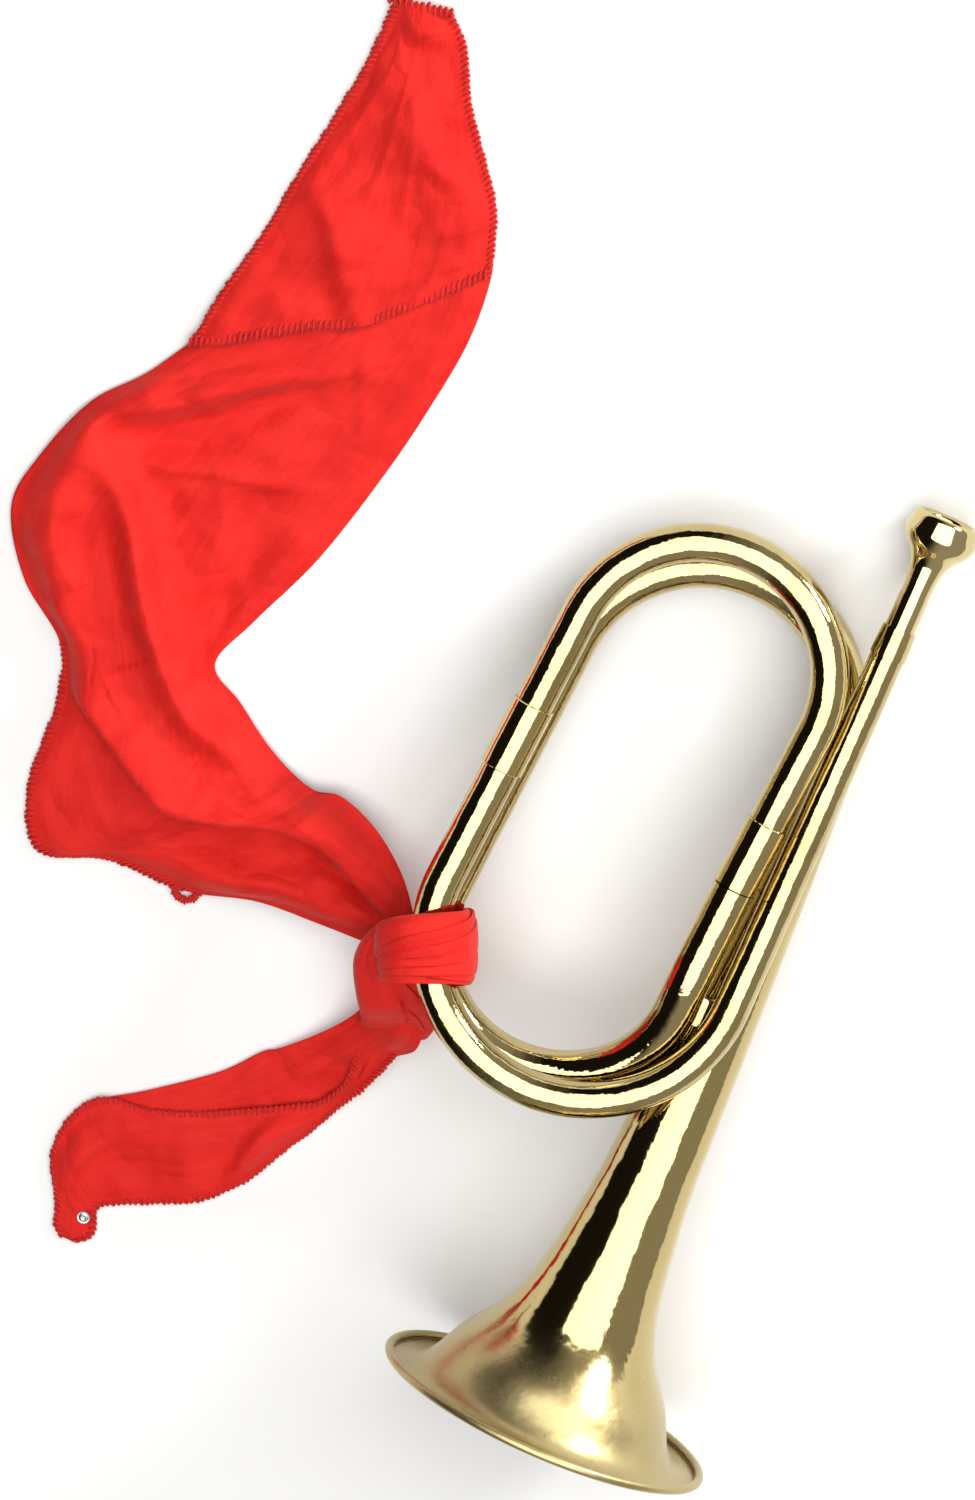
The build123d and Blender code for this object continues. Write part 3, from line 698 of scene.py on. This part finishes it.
stud_low, stud_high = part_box("scarf_stud")
stud_middle = (stud_low + stud_high) / 2
deselect()
bpy.ops.mesh.primitive_cylinder_add(vertices=48, radius=stud_radius * mm, depth=stud_depth * mm,
                                    location=(stud_middle.x, stud_middle.y, stud_height * mm))
stud = bpy.context.object
stud.name = "scarf_metal_stud"
bpy.ops.object.transform_apply(location=True, rotation=True, scale=True)
bpy.ops.object.mode_set(mode="EDIT")
bpy.ops.mesh.select_all(action="DESELECT")
bpy.ops.object.mode_set(mode="OBJECT")
for face in stud.data.polygons:
    face.select = face.normal.z > 0.9
bpy.ops.object.mode_set(mode="EDIT")
for inset, rise in stud_pressings:
    bpy.ops.mesh.inset(thickness=inset * mm)
    bpy.ops.transform.translate(value=(0, 0, rise * mm))
bpy.ops.object.mode_set(mode="OBJECT")
rounding = stud.modifiers.new("rounding", "BEVEL")
rounding.width = 0.08 * mm
rounding.segments = 2
bpy.ops.object.modifier_apply(modifier=rounding.name)
bpy.ops.object.shade_smooth_by_angle(angle=math.radians(40))
stud_steel, skin, place = new_finish("stud_steel")
skin.inputs["Metallic"].default_value = 1.0
feed(skin, "Base Color", mixed(noise(place, 1500.0, 3.0), stud_bright, stud_dark))
feed(skin, "Roughness", noise(place, 2500.0, 2.0) * 0.3 + 0.2)
stud.data.materials.append(stud_steel)
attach(stud, "horn")
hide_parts("scarf_stud")

# ------------------------------------------------------------------------------------------- knot
# The kerchief is tied once round both lower bows. A broad creased band goes over the tubes, and
# beside them the cloth is pulled through under itself, into a lump with tight creases.
gathered_width = 60.0
gathered_length = 70.0
end_share = 0.07
doubles = 0.02


def squarer(value, power):
    """A sine or cosine pushed out towards the corners of a square."""
    return np.sign(value) * np.abs(value) ** power


def unit(ways):
    return ways / np.linalg.norm(ways, axis=1)[:, None]


def bundle(name, rows, columns, middle, wide_way, thick_way, half_wide, half_thick, creases, closed):
    """A rope of gathered cloth: rings round a path, pinched along its length by creases. Each
    crease is where it starts round the rope, its depth, width, drift along the rope and wobble."""
    cloth, around, down = grid_cloth(name, rows, columns)
    angle = around * 2 * math.pi
    side = squarer(np.cos(angle), 0.8)
    top = squarer(np.sin(angle), 0.7)
    reach = np.ones(len(angle))
    for turn, depth, spread, drift, wobble in creases:
        at = turn + drift * down + wobble * np.sin(down * 9 + turn * 5)
        gap = np.abs((angle - at + math.pi) % (2 * math.pi) - math.pi)
        reach -= depth * np.exp(-gap / spread) * (0.6 + 0.4 * np.sin(down * 7 + turn * 3))
    if not closed:
        ends = np.clip(np.minimum(down, 1 - down) / end_share, 0, 1)
        reach *= np.sqrt(1 - (1 - ends) ** 2)
    laid = (middle(down) + unit(wide_way(down)) * (side * half_wide(down) * reach)[:, None]
            + unit(thick_way(down)) * (top * half_thick(down) * reach)[:, None])
    set_cloth(cloth, laid, gathered_width, gathered_length)
    bpy.ops.object.mode_set(mode="EDIT")
    bpy.ops.mesh.select_all(action="SELECT")
    bpy.ops.mesh.remove_doubles(threshold=doubles * mm)
    bpy.ops.mesh.normals_make_consistent(inside=False)
    bpy.ops.object.mode_set(mode="OBJECT")
    bpy.ops.object.shade_smooth()
    cloth.data.materials.append(red_cotton)
    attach(cloth, "horn")
    return cloth


wrap_middle = np.array((12.65, -52.6, 37.1))
tube_way = np.array((-0.3906, 0.9034, -0.1769))
out_way = np.array((-0.9192, -0.3933, 0.0210))
up_way = np.array((-0.0506, 0.1709, 0.9840))
wrap_half_wide = 11.0
wrap_half_high = 15.9
wrap_square = 0.75
wrap_bulge = 1.3


def wrap_spot(down):
    """The middle of the band, on its way round both tubes and a little along them."""
    turn = down * 2 * math.pi
    side = squarer(np.cos(turn), wrap_square)
    side = np.where(side > 0, side * wrap_bulge, side)
    top = squarer(np.sin(turn), wrap_square)
    slip = 2.9 * np.sin(turn) - 0.7 * np.cos(turn) - 3.1
    return (wrap_middle + out_way * (side * wrap_half_wide)[:, None]
            + up_way * (top * wrap_half_high)[:, None] + tube_way * slip[:, None])


def wrap_outward(down):
    turn = down * 2 * math.pi
    return out_way * np.cos(turn)[:, None] + up_way * np.sin(turn)[:, None]


band = bundle(
    "scarf_knot_band", 150, 96,
    middle=wrap_spot,
    wide_way=lambda down: np.tile(tube_way, (len(down), 1)),
    thick_way=wrap_outward,
    half_wide=lambda down: 10.5 - 1.5 * np.cos(down * 2 * math.pi) + 0.5 * np.sin(down * 11),
    half_thick=lambda down: np.full(len(down), 3.0),
    creases=[
        (2.05, 0.45, 0.09, -2.6, 0.10), (2.35, 0.60, 0.07, -1.2, 0.10),
        (2.6, 0.65, 0.08, -0.2, 0.06), (1.9, 0.35, 0.10, -3.6, 0.10),
        (2.45, 0.40, 0.05, 0.9, 0.12), (2.2, 0.30, 0.06, -1.9, 0.12),
    ],
    closed=True,
)
lump_path = [(8, -57, 34), (4.5, -61, 34), (4.5, -68, 33.5), (9, -76, 30), (13, -83, 25.5),
             (15, -90, 18), (14, -98, 10)]
lump_ways = [(-0.5, 0.8, 0.2), (-0.75, 0.4, 0.1), (-0.9, -0.1, 0), (-0.85, -0.45, 0),
             (-0.85, -0.45, 0), (-0.95, -0.3, 0), (-1, -0.1, 0)]
lump = bundle(
    "scarf_knot_lump", 90, 88,
    middle=lambda down: smooth(lump_path, down * (len(lump_path) - 1)),
    wide_way=lambda down: smooth(lump_ways, down * (len(lump_ways) - 1)),
    thick_way=lambda down: np.tile((0.1, 0.35, 0.93), (len(down), 1)),
    half_wide=lambda down: 8.2 + 3.4 * np.sin(down * 2.4),
    half_thick=lambda down: 10.0 - 4.8 * down,
    creases=[
        (0.4, 0.35, 0.12, 1.6, 0.25), (1.2, 0.42, 0.10, 1.2, 0.2), (1.9, 0.42, 0.10, 0.9, 0.25),
        (2.7, 0.35, 0.1, 0.7, 0.15), (0.8, 0.25, 0.06, 1.5, 0.15), (1.6, 0.3, 0.06, 1.0, 0.15),
    ],
    closed=False,
)
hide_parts("scarf_knot")
